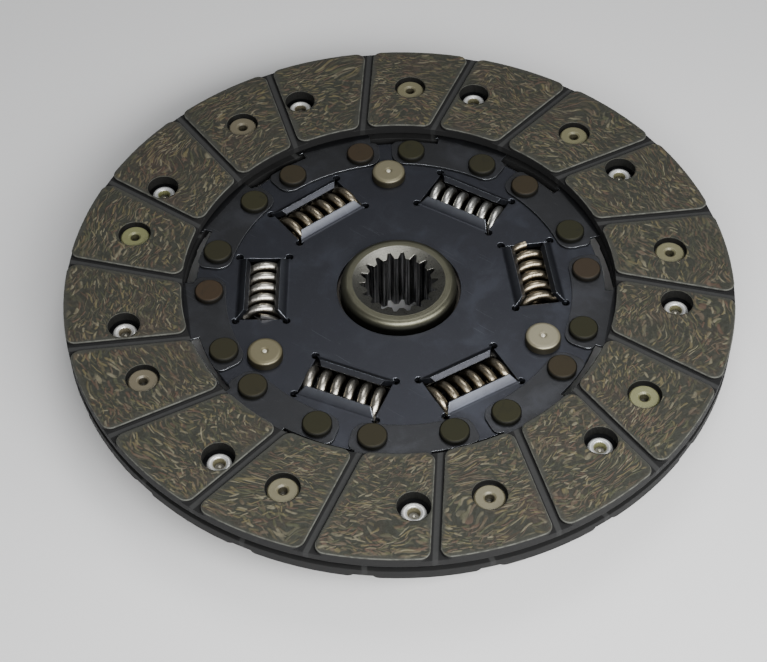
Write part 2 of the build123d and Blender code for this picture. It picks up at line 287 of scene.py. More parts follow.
class Effect:
    """A shader node group that several finishes share."""

    title: str = ""
    takes: dict[str, str] = {}
    gives: dict[str, str] = {}

    @classmethod
    def group(cls) -> bpy.types.NodeTree:
        """Return the group, built on first use."""
        ready = bpy.data.node_groups.get(cls.title)
        if ready is not None:
            return ready
        tree = bpy.data.node_groups.new(cls.title, "ShaderNodeTree")
        for way, sockets in (("INPUT", cls.takes), ("OUTPUT", cls.gives)):
            for name, kind in sockets.items():
                kind = "NodeSocket" + kind
                tree.interface.new_socket(name=name, in_out=way, socket_type=kind)
        wires = Wiring(tree)
        entry = tree.nodes.new("NodeGroupInput")
        leave = tree.nodes.new("NodeGroupOutput")
        for name, socket in cls.draw(wires, {s.name: s for s in entry.outputs}).items():
            wires.feed(leave.inputs[name], socket)
        return tree

    @classmethod
    def draw(cls, w: Wiring, given: dict[str, Socket]) -> dict[str, Socket]:
        """Wire the group's inside.

        Args:
            w: wiring of the group's tree.
            given: the group's inputs by name.

        Returns:
            The group's outputs by name.
        """
        raise NotImplementedError

    @classmethod
    def use(cls, w: Wiring, place: Value, **feeds: Value) -> dict[str, Socket]:
        """Place the group in a tree.

        Args:
            w: wiring of the tree that uses it.
            place: coordinates for its first input.
            **feeds: values for its other inputs.

        Returns:
            Its outputs by name.
        """
        made = w.node("Group", {0: place, **feeds}, node_tree=cls.group())
        return {s.name: s for s in made.outputs}


class RepeatedPlaces(Effect):
    """Coordinates about the nearest of several like places round the axis."""

    title = "Repeated places"
    takes = {
        "Position": "Vector",
        "Start": "Float",
        "Step": "Float",
        "Spread": "Float",
        "Circle": "Float",
    }
    gives = {"Local": "Vector", "Radius": "Float", "Pick": "Float"}

    @classmethod
    def draw(cls, w: Wiring, given: dict[str, Socket]) -> dict[str, Socket]:
        """Fold the angle about the axis into one step, and split it about its middle."""
        x, y, z = w.parts(given["Position"])
        radius = w.reach(x, y)
        turns = w.over(w.minus(w.math("ARCTAN2", y, x), given["Start"]), given["Step"])
        index = w.math("FLOOR", w.plus(turns, 0.5))
        offset = w.times(w.minus(turns, index), given["Step"])
        count = w.over(math.tau, given["Step"])
        number = w.math("FLOORED_MODULO", index, count)
        doubled = w.math("GREATER_THAN", given["Spread"], 0.0)
        past = w.times(w.math("GREATER_THAN", offset, 0.0), doubled)
        from_place = w.minus(w.math("ABSOLUTE", offset), given["Spread"])
        out = w.minus(w.times(radius, w.math("COSINE", from_place)), given["Circle"])
        across = w.times(radius, w.math("SINE", from_place))
        local = w.node("CombineXYZ", {0: out, 1: across, 2: z}).outputs[0]
        from_centre = w.reach(out, across)
        pick = w.node("TexWhiteNoise", noise_dimensions="1D")
        w.feed(pick.inputs["W"], w.line(w.math("ROUND", number), 2.0, past))
        return {"Local": local, "Radius": from_centre, "Pick": pick.outputs["Value"]}

    @classmethod
    def about(
        cls, w: Wiring, place: Socket, start: float, step: float, circle: float, spread: float = 0.0
    ) -> dict[str, Socket]:
        """Place the group, with its angles in degrees.

        Args:
            w: wiring of the tree that uses it.
            place: object coordinates in millimetres.
            start: angle of one place.
            step: angle from a place to the next.
            circle: radius that the places lie on.
            spread: angle from a place to each of its two halves.

        Returns:
            Its outputs by name.
        """
        angles = {"Start": start, "Step": step, "Spread": spread}
        turns = {name: math.radians(angle) for name, angle in angles.items()}
        return cls.use(w, place, Circle=circle, **turns)


class ScatteredStrands(Effect):
    """Short bent strands strewn along one direction."""

    title = "Scattered strands"
    takes = {
        "Position": "Vector",
        "Turn": "Float",
        "Shift": "Float",
        "Length": "Float",
        "Width": "Float",
        "Fullness": "Float",
    }
    gives = {"Mask": "Float", "Tone": "Float", "Height": "Float"}
    cell_length = 0.95  # of a strand's length
    cell_width = 2.1  # of a strand's width
    most_lean = 0.4
    most_bend = 0.45
    blunt = 0.8

    @classmethod
    def draw(cls, w: Wiring, given: dict[str, Socket]) -> dict[str, Socket]:
        """Give each stretched cell one strand with its own turn, bend and tone."""
        feeds = {"Vector": given["Position"], "Angle": given["Turn"]}
        turned = w.node("VectorRotate", feeds, rotation_type="Z_AXIS")
        shift = w.node("CombineXYZ", {0: given["Shift"], 1: given["Shift"]})
        x, y, _ = w.parts(w.vector("ADD", turned.outputs[0], shift.outputs[0]))
        long = w.times(given["Length"], cls.cell_length)
        wide = w.times(given["Width"], cls.cell_width)
        flat = w.node("CombineXYZ", {0: w.over(x, long), 1: w.over(y, wide)}).outputs[0]
        feeds = {"Vector": flat, "Scale": 1.0, "Randomness": 1.0}
        cells = w.node("TexVoronoi", feeds, voronoi_dimensions="2D", feature="F1")
        away = w.parts(w.vector("SUBTRACT", flat, cells.outputs["Position"]))
        own = w.parts(cells.outputs["Color"])
        along = w.times(away[0], long)
        across = w.times(away[1], wide)
        lean = w.times(w.minus(own[0], 0.5), cls.most_lean)
        bend = w.over(w.times(w.minus(own[1], 0.5), cls.most_bend), given["Length"])
        curved = w.line(w.times(along, along), bend, w.line(along, lean, across))
        half = w.times(given["Width"], w.line(own[2], 0.35, 0.3))
        side = w.over(w.math("ABSOLUTE", curved), half)
        reach = w.over(w.math("ABSOLUTE", along), w.times(given["Length"], 0.5))
        filled = w.line(w.math("POWER", reach, 4.0), cls.blunt, w.times(side, side))
        pick = w.node("TexWhiteNoise", {"Vector": cells.outputs["Color"]}, noise_dimensions="3D")
        tone = pick.outputs["Value"]
        there = w.math("LESS_THAN", tone, given["Fullness"])
        height = w.times(w.math("MAXIMUM", w.minus(1.0, filled), 0.0), there)
        mask = w.step(height, 0.0, 0.85)
        tall = w.math("SQRT", height)
        return {"Mask": mask, "Tone": w.over(tone, given["Fullness"]), "Height": tall}


class EdgeWear(Effect):
    """Where an edge lies close by, broken up by noise."""

    title = "Edge wear"
    takes = {"Position": "Vector", "Radius": "Float", "Break": "Float"}
    gives = {"Mask": "Float", "Normal": "Vector"}

    @classmethod
    def draw(cls, w: Wiring, given: dict[str, Socket]) -> dict[str, Socket]:
        """Compare the rounded normal with the face's own."""
        rounded = w.node("Bevel", {"Radius": given["Radius"]}, samples=6).outputs[0]
        own = w.node("NewGeometry").outputs["Normal"]
        bent = w.minus(1.0, w.vector("DOT_PRODUCT", rounded, own, out="Value"))
        near = w.step(bent, 0.015, 0.16)
        rough = w.noise(given["Position"], 0.9, 4.0, 0.6).outputs[0]
        broken = w.step(rough, w.times(given["Break"], 0.45), w.line(given["Break"], 0.45, 0.3))
        return {"Mask": w.times(near, broken), "Normal": rounded}


class Blotches(Effect):
    """Soft irregular patches, such as oil stain and settled dust."""

    title = "Blotches"
    takes = {"Position": "Vector", "Size": "Float", "Cover": "Float"}
    gives = {"Mask": "Float", "Fine": "Float"}

    @classmethod
    def draw(cls, w: Wiring, given: dict[str, Socket]) -> dict[str, Socket]:
        """Cut a warped noise at a level set by the cover."""
        scale = w.over(1.0, given["Size"])
        wander = w.vector("SUBTRACT", w.noise(given["Position"], scale, 2.0).outputs[1], HALVES)
        moved = w.vector("ADD", given["Position"], w.scaled(wander, given["Size"]))
        broad = w.noise(moved, scale, 5.0, 0.6).outputs[0]
        low = w.minus(0.72, w.times(given["Cover"], 0.5))
        mask = w.step(broad, low, w.plus(low, 0.22))
        fine = w.noise(given["Position"], w.times(scale, 14.0), 4.0, 0.65).outputs[0]
        return {"Mask": mask, "Fine": fine}


class TurnedRings(Effect):
    """Fine rings that a lathe or a grinding wheel leaves round a centre."""

    title = "Turned rings"
    takes = {"Local": "Vector", "Radius": "Float", "Pitch": "Float"}
    gives = {"Height": "Float", "Tone": "Float"}

    @classmethod
    def draw(cls, w: Wiring, given: dict[str, Socket]) -> dict[str, Socket]:
        """Read noise along the radius only, and wobble it a little."""
        wobble = w.times(w.noise(given["Local"], 0.6, 2.0).outputs[0], w.times(given["Pitch"], 0.8))
        along = w.over(w.plus(given["Radius"], wobble), given["Pitch"])
        fine = {"W": along, "Scale": 1.0, "Detail": 2.0}
        broad = {"W": w.times(along, 0.13), "Scale": 1.0, "Detail": 1.0}
        height, tone = (
            w.node("TexNoise", feeds, noise_dimensions="1D").outputs[0] for feeds in (fine, broad)
        )
        return {"Height": height, "Tone": tone}


# finishes
@dataclass(frozen=True)
class Finish:
    """A material and what every finish of this object shares."""

    name: str

    def build(self) -> Material:
        """Make the material.

        Returns:
            The finished material.
        """
        material = bpy.data.materials.new(self.name)
        material.use_nodes = True
        w = Wiring(material.node_tree)
        shader = next(n for n in w.tree.nodes if n.type == "BSDF_PRINCIPLED")
        place = w.scaled(w.node("TexCoord").outputs["Object"], 1.0 / MM)
        for name, value in self.wire(w, place).items():
            w.feed(shader.inputs[name], value)
        return material

    def wire(self, w: Wiring, place: Socket) -> dict[str, Value]:
        """Wire the finish.

        Args:
            w: wiring of the material.
            place: object coordinates in millimetres.

        Returns:
            What feeds the Principled BSDF, by the name of its input.
        """
        raise NotImplementedError

    @staticmethod
    def relief(w: Wiring, height: Value, depth: float, normal: Socket | None = None) -> Socket:
        """Add a Bump node.

        Args:
            w: wiring of the material.
            height: height map, 0 to 1.
            depth: what its full range stands for, in millimetres.
            normal: normal to build on.

        Returns:
            The bent normal.
        """
        bump = w.node("Bump", {"Height": height, "Strength": 1.0, "Distance": depth * MM})
        if normal is not None:
            w.feed(bump.inputs["Normal"], normal)
        return bump.outputs[0]


@dataclass(frozen=True)
class FrictionLining(Finish):
    """Moulded lining: chopped yarn in dark resin, with a smooth skin at its edges."""

    side: Side = Side.FRONT
    outer: float = 100.0
    inner: float = 65.0
    face: float = 4.7
    groove_lean: float = 15.0
    groove_start: float = 3.0
    groove_step: float = 20.0
    groove_half: float = 1.3
    turn_over: float = 76.2
    rivet_starts: tuple[float, float] = (83.5, 68.9)
    rivet_step: float = 40.0
    rivet_circle: float = 82.8
    bore_radius: float = 5.1

    # each layer's turn, strand length, strand width and fullness
    layers: tuple[tuple[float, float, float, float], ...] = (
        (0.05, 2.9, 0.8, 0.68),
        (-0.4, 2.5, 0.75, 0.56),
        (0.35, 3.1, 0.75, 0.56),
        (0.8, 2.4, 0.7, 0.38),
        (-0.15, 2.7, 0.6, 0.48),
    )
    layer_shift: float = 17.3
    zone_shift: tuple[float, float] = (61.0, 29.0)
    pad_shift: tuple[float, float] = (37.7, 23.1)
    stirs: tuple[tuple[float, float], ...] = ((0.05, 14.0), (0.2, 1.6))

    resin: Colour = (0.04, 0.042, 0.033)
    baked: Colour = (0.056, 0.045, 0.036)
    pitted: Colour = (0.018, 0.018, 0.015)
    yarns: tuple[tuple[float, Colour], ...] = (
        (0.0, (0.07, 0.068, 0.042)),
        (0.18, (0.1, 0.08, 0.054)),
        (0.34, (0.075, 0.078, 0.045)),
        (0.5, (0.115, 0.09, 0.064)),
        (0.62, (0.1, 0.064, 0.046)),
        (0.74, (0.15, 0.128, 0.066)),
        (0.88, (0.2, 0.182, 0.122)),
    )
    streak: Colour = (0.66, 0.64, 0.6)
    skin: tuple[Colour, Colour] = ((0.036, 0.037, 0.031), (0.05, 0.05, 0.042))
    groove_floor: tuple[Colour, Colour] = ((0.024, 0.025, 0.025), (0.04, 0.04, 0.039))
    groove_foot_shade: Colour = (0.009, 0.009, 0.009)
    edge_highlight: Colour = (0.13, 0.132, 0.115)
    side_wall_shade: Colour = (0.012, 0.012, 0.012)
    drill_shade: Colour = (0.007, 0.007, 0.006)
    wear_and_sheen: Colour = (0.12, 0.12, 0.1)

    def wire(self, w: Wiring, place: Socket) -> dict[str, Value]:
        """Lay the strands over the resin, fade them at the skin, paint a highlight along the pads'
        top edges, and paint shade on the walls, groove feet and rivet holes.
        """
        if self.side is Side.REAR:
            flipped = w.node("Mapping", {"Vector": place})
            turn = math.radians(2 * self.turn_over)
            flipped.inputs["Rotation"].default_value = (math.pi, 0.0, turn)
            place = flipped.outputs[0]
        x, y, z = w.parts(place)
        radius = w.reach(x, y)
        turns, from_groove = self.grooves(w, w.math("ARCTAN2", y, x), radius)
        from_rim = w.minus(self.outer, radius)
        from_bore = w.minus(radius, self.inner)
        edge = w.math("MINIMUM", w.math("MINIMUM", from_groove, from_rim), from_bore)
        wander = w.noise(place, 0.16, 3.0).outputs[0]
        inside = w.step(w.line(w.minus(wander, 0.5), 4.0, edge), 0.0, 1.7)
        top = w.step(z, self.face - 0.45, self.face - 0.05)

        patch = Blotches.use(w, place, Size=16.0, Cover=0.5)
        grit = w.noise(place, 2.2, 4.0, 0.7).outputs[0]
        wound = self.wound(w, place, turns, radius)
        colour, height = self.yarn(w, place, wound, inside, patch["Mask"], grit)
        skin = w.blend(w.step(grit, 0.3, 0.7), *self.skin)
        colour = w.blend(w.line(inside, -0.8, 0.8), colour, skin)

        floor = w.blend(patch["Fine"], *self.groove_floor)
        # painted shade: the groove floor turns near black along the foot of each pad wall
        floor = w.blend(w.step(from_groove, -0.75, -0.35), floor, self.groove_foot_shade)
        colour = w.blend(top, floor, colour)
        # painted highlight along the pads' top edges
        colour = w.blend(self.edge_highlight_band(w, place, z), colour, self.edge_highlight)
        # painted shade on the facing's outer and inner side walls
        side_wall_shade = w.math("MINIMUM", w.step(from_rim, -0.1, 0.12), w.step(from_bore, -0.1, 0.12))
        colour = w.blend(side_wall_shade, self.side_wall_shade, colour)
        # painted shade down the rivet holes, darker the deeper
        deep = w.step(z, self.face - 1.3, self.face - 0.1, 0.95, 0.35)
        for start in self.rivet_starts:
            near = RepeatedPlaces.about(w, place, start, self.rivet_step, self.rivet_circle)
            drilled = w.step(near["Radius"], self.bore_radius, self.bore_radius + 0.3, 1.0, 0.0)
            colour = w.blend(w.times(drilled, deep), colour, self.drill_shade)

        wear = EdgeWear.use(w, place, Radius=0.35 * MM, Break=0.3)
        level = w.times(height, w.line(top, 0.8, 0.2))
        return {
            "Base Color": w.blend(w.times(wear["Mask"], top, 0.5), colour, self.wear_and_sheen),
            "Roughness": w.step(height, 0.0, 1.0, 0.74, 0.55),
            "Specular IOR Level": 0.3,
            "Normal": self.relief(w, level, 0.1, wear["Normal"]),
        }

    def grooves(self, w: Wiring, angle: Value, radius: Value) -> tuple[Socket, Socket]:
        """Find the nearest groove, where the grooves lean off the radius.

        Args:
            w: wiring of the material.
            angle: angle round the axis.
            radius: distance from the axis.

        Returns:
            Grooves passed since the first, and the distance from the nearest one's wall.
        """
        step = math.radians(self.groove_step)
        lean = w.math("ARCSINE", w.over(self.groove_lean, radius))
        turns = w.over(w.minus(angle, w.plus(lean, math.radians(self.groove_start))), step)
        off = w.minus(turns, w.math("FLOOR", w.plus(turns, 0.5)))
        swing = w.math("ABSOLUTE", w.math("SINE", w.times(off, step)))
        run = w.math("SQRT", w.minus(w.times(radius, radius), self.groove_lean**2))
        return turns, w.minus(w.times(swing, run), self.groove_half)

    def wound(self, w: Wiring, place: Value, turns: Value, radius: Value) -> Socket:
        """Wind the yarn round the ring, pad by pad, and stir it as the press does.

        Args:
            w: wiring of the material.
            place: object coordinates in millimetres.
            turns: grooves passed since the first.
            radius: distance from the axis.

        Returns:
            Coordinates along and across the yarn.
        """
        whole = w.math("FLOOR", turns)
        pad = w.math("FLOORED_MODULO", whole, 360.0 / self.groove_step)
        sweep = math.radians(self.groove_step) * self.rivet_circle
        along = w.line(w.minus(turns, whole), sweep, w.times(pad, self.pad_shift[0]))
        across = w.line(pad, self.pad_shift[1], radius)
        pushes = [
            w.scaled(w.vector("SUBTRACT", w.noise(place, scale, 1.0).outputs[1], HALVES), push)
            for scale, push in self.stirs
        ]
        straight = w.node("CombineXYZ", {0: along, 1: across}).outputs[0]
        return w.vector("ADD", straight, w.vector("ADD", *pushes))

    def yarn(
        self, w: Wiring, place: Value, wound: Value, inside: Value, patch: Value, grit: Value
    ) -> tuple[Socket, Socket]:
        """Lay the layers of strands over the resin.

        Args:
            w: wiring of the material.
            place: object coordinates in millimetres.
            wound: coordinates along and across the yarn.
            inside: 1 away from the pad's edges.
            patch: where the resin is baked browner.
            grit: fine noise.

        Returns:
            The colour and the height.
        """
        colour = w.blend(patch, self.resin, self.baked)
        colour = w.blend(w.step(grit, 0.35, 0.7), w.blend(0.45, colour, self.pitted), colour)
        height = w.times(grit, 0.35)
        for number, (turn, length, width, fullness) in enumerate(self.layers):
            shape = {"Turn": turn, "Length": length, "Width": width, "Fullness": fullness}
            shift = self.layer_shift * number
            strand = ScatteredStrands.use(w, wound, Shift=shift, **shape)
            moved = w.vector("ADD", place, (self.zone_shift[0] * number, self.zone_shift[1], 0.0))
            there = w.step(w.noise(moved, 0.055, 1.0).outputs[0], 0.4, 0.56, 0.35, 1.0)
            shown = w.times(strand["Mask"], there, inside)
            tint = w.ramp(strand["Tone"], self.yarns, hard=True)
            colour = w.blend(w.times(shown, 0.7), colour, tint)
            height = w.math("MAXIMUM", height, w.times(strand["Height"], shown))
        streaks = w.step(w.noise(wound, 1.1, 3.0, 0.6).outputs[0], 0.4, 0.6, 0.6, 0.0)
        return w.blend(streaks, colour, w.blend(1.0, colour, self.streak, "MULTIPLY")), height

    def edge_highlight_band(self, w: Wiring, place: Value, z: Value) -> Socket:
        """Find the painted highlight on the bevel round a pad's top, broken up by noise.

        Args:
            w: wiring of the material.
            place: object coordinates in millimetres.
            z: height above the disc's middle.

        Returns:
            How much of the painted highlight shows.
        """
        rising = w.step(z, self.face - 0.3, self.face - 0.22)
        falling = w.step(z, self.face - 0.05, self.face, 1.0, 0.0)
        patchy = w.step(w.noise(place, 0.5, 3.0).outputs[0], 0.35, 0.6, 0.3, 1.0)
        return w.times(rising, falling, w.times(patchy, 0.75))


@dataclass(frozen=True)
class DarkSheet(Finish):
    """Sheet steel with a dark phosphate or oxide coat."""

    deep: Colour = (0.041, 0.043, 0.052)
    light: Colour = (0.056, 0.06, 0.074)
    bare: Colour = (0.42, 0.45, 0.5)
    shine: float = 0.36
    wear: float = 0.6
    metal: float = 0.85

    def wire(self, w: Wiring, place: Socket) -> dict[str, Value]:
        """Mottle the coat, scuff it lightly and wear its edges bright."""
        patch = Blotches.use(w, place, Size=18.0, Cover=0.5)
        small = Blotches.use(w, place, Size=3.0, Cover=0.35)
        coat = w.blend(patch["Mask"], self.deep, self.light)
        coat = w.blend(w.times(small["Mask"], 0.35), coat, self.light)
        speck = w.step(w.noise(place, 3.2, 2.0, 0.7).outputs[0], 0.6, 0.72)
        coat = w.blend(w.times(speck, 0.05), coat, self.bare)
        scratch = {"Turn": 0.7, "Shift": 3.0, "Length": 13.0, "Width": 0.09, "Fullness": 0.02}
        scuff = ScatteredStrands.use(w, place, **scratch)
        coat = w.blend(w.times(scuff["Mask"], 0.14), coat, self.bare)
        coat = self.lip_light_and_shade(w, place, patch["Fine"], coat)
        edge = EdgeWear.use(w, place, Radius=0.3 * MM, Break=0.55)
        worn = w.times(edge["Mask"], self.wear)
        dull = w.line(patch["Fine"], 0.16, self.shine - 0.06)
        grain = w.line(small["Fine"], 0.5, w.times(patch["Fine"], 0.5))
        return {
            "Base Color": w.blend(worn, coat, self.bare),
            "Metallic": w.line(worn, 1.0 - self.metal, self.metal),
            "Roughness": w.minus(dull, w.times(worn, 0.1)),
            "Normal": self.relief(w, grain, 0.03, edge["Normal"]),
        }

    def lip_light_and_shade(self, w: Wiring, place: Socket, fine: Socket, coat: Socket) -> Socket:
        """Leave the coat as it is; a sheet with lips gets their painted sheen and shade here.

        Args:
            w: wiring of the material.
            place: object coordinates in millimetres.
            fine: fine noise.
            coat: colour of the coat.

        Returns:
            The colour after use.
        """
        return coat


@dataclass(frozen=True)
class SpringPlate(DarkSheet):
    """Plate whose window lips carry a painted sheen toward their tips and a painted shade over the
    springs.
    """

    start: float = 90.0
    step: float = 120.0
    spread: float = 33.9
    circle: float = 41.0
    pack_level: float = -5.45
    lip_foot: float = 5.2
    lip_tip: float = 7.2
    tip_reach: float = 5.2
    lip_sheen: float = 0.3
    wear_and_sheen: tuple[Colour, Colour] = ((0.16, 0.17, 0.19), (0.34, 0.36, 0.4))
    lip_end_shade: Colour = (0.03, 0.031, 0.035)

    def lip_light_and_shade(self, w: Wiring, place: Socket, fine: Socket, coat: Socket) -> Socket:
        """Paint sheen on the lips toward their tips, and paint shade on their ends over the
        springs.
        """
        nearest = RepeatedPlaces.about(w, place, self.start, self.step, self.circle, self.spread)
        out, _, z = w.parts(nearest["Local"])
        outer_lip = w.math("LESS_THAN", out, 0.0)
        beside = w.math("ABSOLUTE", out)
        away = w.math("ABSOLUTE", w.minus(z, self.pack_level))
        # painted sheen: the lips get lighter the higher they rise, the inner lip more than the
        # outer
        raised = w.step(away, self.lip_foot, self.lip_tip, 0.0, self.lip_sheen)
        upper = w.step(beside, self.tip_reach, self.tip_reach + 0.15)
        lit = w.times(raised, upper, w.line(outer_lip, 0.35, 0.65))
        coat = w.blend(lit, coat, w.blend(fine, *self.wear_and_sheen))
        # painted shade on the lip ends that curl over the spring
        end = w.math("LESS_THAN", beside, self.tip_reach)
        end = w.times(w.step(away, self.lip_foot, self.lip_foot + 0.3), end)
        return w.blend(w.times(end, 0.6), coat, self.lip_end_shade)


@dataclass(frozen=True)
class SpringWire(Finish):
    """Shot-peened spring wire with a bronze cast, darker in its hollows."""

    start: float = 90.0
    step: float = 120.0
    spread: float = 33.9
    circle: float = 41.0
    level: float = -5.45
    coil: float = 5.1
    brighter: tuple[tuple[float, float], ...] = ((56.1, 1.0), (176.1, 0.6), (243.9, 0.45))
    bronze: tuple[Colour, Colour] = ((0.27, 0.215, 0.135), (0.13, 0.095, 0.055))
    bright: tuple[Colour, Colour] = ((0.62, 0.57, 0.46), (0.33, 0.27, 0.175))
    bare: Colour = (0.86, 0.86, 0.82)
    hollow: Colour = (0.05, 0.042, 0.03)

    def wire(self, w: Wiring, place: Socket) -> dict[str, Value]:
        """Brighten the outside of the coil and darken its inside."""
        nearest = RepeatedPlaces.about(w, place, self.start, self.step, self.circle, self.spread)
        out, _, z = w.parts(nearest["Local"])
        rise = w.minus(z, self.level)
        from_axis = w.reach(out, rise)
        outside = w.step(from_axis, self.coil - 0.9, self.coil + 1.1)
        stain = Blotches.use(w, place, Size=5.0, Cover=0.55)
        bronze = w.blend(stain["Mask"], *self.bronze)
        bright = w.blend(stain["Fine"], *self.bright)
        colour = w.blend(w.times(outside, w.step(stain["Fine"], 0.3, 0.62)), bronze, bright)
        for angle, amount in self.brighter:
            middle = around(self.circle, angle, self.level)
            away = w.vector("DISTANCE", place, middle, out="Value")
            near = w.step(away, 14.5, 16.0, amount * 0.8, 0.0)
            colour = w.blend(w.times(near, outside), colour, self.bare)
        peen = w.noise(place, 2.6, 2.0, 0.6).outputs[0]
        return {
            "Base Color": w.blend(w.times(w.minus(1.0, outside), 0.7), colour, self.hollow),
            "Metallic": 1.0,
            "Roughness": w.line(stain["Fine"], 0.3, 0.16),
            "Normal": self.relief(w, peen, 0.05),
        }


@dataclass(frozen=True)
class TurnedMetal(Finish):
    """Small turned or headed pieces that repeat round the axis, each a little different."""

    start: float = 90.0
    step: float = 120.0
    spread: float = 0.0
    circle: float = 47.1
    tones: tuple[tuple[float, Colour], ...] = ((0.0, (0.5, 0.46, 0.33)),)
    stain: Colour = (0.1, 0.09, 0.05)
    cover: float = 0.4
    metal: float = 0.9
    shine: float = 0.34
    pitch: float = 0.22
    ring_depth: float = 0.02
    wear: float = 0.4
    bare: Colour = (0.6, 0.58, 0.5)
    middle: Colour = (0.02, 0.018, 0.012)
    hole_shade_radius: float = 0.0
    pip_highlight: Colour = (0.75, 0.72, 0.6)
    pip_highlight_radius: float = 0.0
    head_radius: float = 50.0
    flank_shade: Colour = (0.012, 0.011, 0.008)
    gloss: float = 0.5

    def wire(self, w: Wiring, place: Socket) -> dict[str, Value]:
        """Give each piece its own tone, turned rings, stain, bright worn edges, painted shade in
        its hole and on its flank, and a painted highlight on its pip.
        """
        nearest = RepeatedPlaces.about(w, place, self.start, self.step, self.circle, self.spread)
        far = nearest["Radius"]
        rings = TurnedRings.use(w, nearest["Local"], Radius=far, Pitch=self.pitch)
        stain = Blotches.use(w, place, Size=4.0, Cover=self.cover)
        base = w.ramp(nearest["Pick"], self.tones)
        base = w.blend(w.times(rings["Tone"], 0.35), base, w.blend(0.45, base, self.stain))
        base = w.blend(w.times(stain["Mask"], 0.55), base, self.stain)
        rounded = None
        if self.wear:
            edge = EdgeWear.use(w, place, Radius=0.35 * MM, Break=0.35)
            base = w.blend(w.times(edge["Mask"], self.wear), base, self.bare)
            rounded = edge["Normal"]
        # painted shade down the piece's hole or cup
        within = w.step(far, self.hole_shade_radius - 0.15, self.hole_shade_radius + 0.25, 1.0, 0.0)
        base = w.blend(w.times(within, 0.9), base, self.middle)
        # painted highlight on the centre pip
        if self.pip_highlight_radius:
            dot = w.step(far, self.pip_highlight_radius - 0.1, self.pip_highlight_radius + 0.15, 1.0, 0.0)
            base = w.blend(dot, base, self.pip_highlight)
        # painted shade on the head's flank
        beside = w.step(far, self.head_radius - 0.45, self.head_radius - 0.12)
        grain = w.line(stain["Fine"], 0.5, rings["Height"])
        return {
            "Base Color": w.blend(w.times(beside, 0.9), base, self.flank_shade),
            "Metallic": w.line(stain["Mask"], -0.25, self.metal),
            "Roughness": w.line(stain["Fine"], 0.22, self.shine - 0.08),
            "Specular IOR Level": self.gloss,
            "Normal": self.relief(w, grain, self.ring_depth, rounded),
        }


@dataclass(frozen=True)
class HubSteel(Finish):
    """Forged hub: turned boss, broached spline, darker flange, all thinly oiled."""

    boss: float = 17.5
    bore: float = 11.9
    front: float = 3.3
    mouth: float = 14.0
    mouth_depth: float = 2.0
    turned: tuple[Colour, Colour] = ((0.1, 0.098, 0.07), (0.17, 0.167, 0.122))
    sheen_cone: tuple[Colour, Colour] = ((0.15, 0.148, 0.125), (0.32, 0.315, 0.28))
    spline: tuple[Colour, Colour] = ((0.03, 0.03, 0.032), (0.34, 0.34, 0.345))
    flange: tuple[Colour, Colour] = ((0.03, 0.03, 0.03), (0.07, 0.065, 0.055))
    stain: Colour = (0.08, 0.075, 0.055)
    shade: Colour = (0.02, 0.02, 0.018)
    bare: Colour = (0.5, 0.49, 0.45)

    def wire(self, w: Wiring, place: Socket) -> dict[str, Value]:
        """Ring the boss, paint sheen on the mouth cone, streak the spline and paint shade on what
        lies deep.
        """
        x, y, z = w.parts(place)
        radius = w.reach(x, y)
        rings = TurnedRings.use(w, place, Radius=w.line(z, 0.7, radius), Pitch=0.32)
        stretch = w.node("Mapping", {"Vector": place})
        stretch.inputs["Scale"].default_value = (2.4, 2.4, 0.05)
        streak = w.noise(stretch.outputs[0], 1.0, 3.0, 0.6).outputs[0]
        stain = Blotches.use(w, place, Size=7.0, Cover=0.45)
        turned = w.blend(rings["Tone"], *self.turned)
        # painted sheen on the mouth cone
        sheen_cone = w.step(radius, self.mouth - 0.15, self.mouth + 0.1, 1.0, 0.0)
        turned = w.blend(sheen_cone, turned, w.blend(streak, *self.sheen_cone))
        turned = w.blend(w.times(stain["Mask"], 0.4), turned, self.stain)
        below = w.step(z, self.front - 3.0, self.front - 1.5, 0.85, 0.0)
        turned = w.blend(below, turned, self.shade)
        spline = w.blend(w.step(streak, 0.36, 0.62), *self.spline)
        in_bore = w.step(radius, self.bore - 0.1, self.bore + 0.15, 1.0, 0.0)
        mouth_foot = self.front - self.mouth_depth
        in_bore = w.times(in_bore, w.step(z, mouth_foot, mouth_foot + 0.4, 1.0, 0.0))
        on_flange = w.step(radius, self.boss + 0.1, self.boss + 0.6)
        colour = w.blend(in_bore, turned, spline)
        colour = w.blend(on_flange, colour, w.blend(stain["Fine"], *self.flange))
        edge = EdgeWear.use(w, place, Radius=0.3 * MM, Break=0.2)
        worn = w.times(edge["Mask"], w.line(on_flange, -0.5, 0.6))
        height = w.blend(in_bore, rings["Height"], streak)
        return {
            "Base Color": w.blend(worn, colour, self.bare),
            "Metallic": 1.0,
            "Roughness": w.line(sheen_cone, -0.12, w.line(stain["Fine"], 0.25, 0.3)),
            "Coat Weight": 0.1,
            "Coat Roughness": 0.25,
            "Normal": self.relief(w, height, 0.03, edge["Normal"]),
        }


@dataclass(frozen=True)
class PressedWasher(Finish):
    """Moulded friction washer: dark, matt, lightly speckled."""

    dark: Colour = (0.035, 0.03, 0.026)
    light: Colour = (0.09, 0.075, 0.055)

    def wire(self, w: Wiring, place: Socket) -> dict[str, Value]:
        """Speckle the resin."""
        speck = w.step(w.noise(place, 2.4, 3.0, 0.7).outputs[0], 0.45, 0.7)
        return {
            "Base Color": w.blend(speck, self.dark, self.light),
            "Roughness": w.line(speck, -0.15, 0.75),
            "Normal": self.relief(w, speck, 0.03),
        }


@dataclass(frozen=True)
class PaleFloor(Finish):
    """Plain pale floor with a faint unevenness."""

    tone: float = 0.85

    def wire(self, w: Wiring, place: Socket) -> dict[str, Value]:
        """Vary the tone by a hair."""
        cloud = w.noise(place, 0.004, 2.0).outputs[0]
        low, high = self.tone - 0.01, self.tone + 0.01
        tint = w.blend(cloud, (low, low, low), (high, high, high))
        return {"Base Color": tint, "Roughness": 0.65}


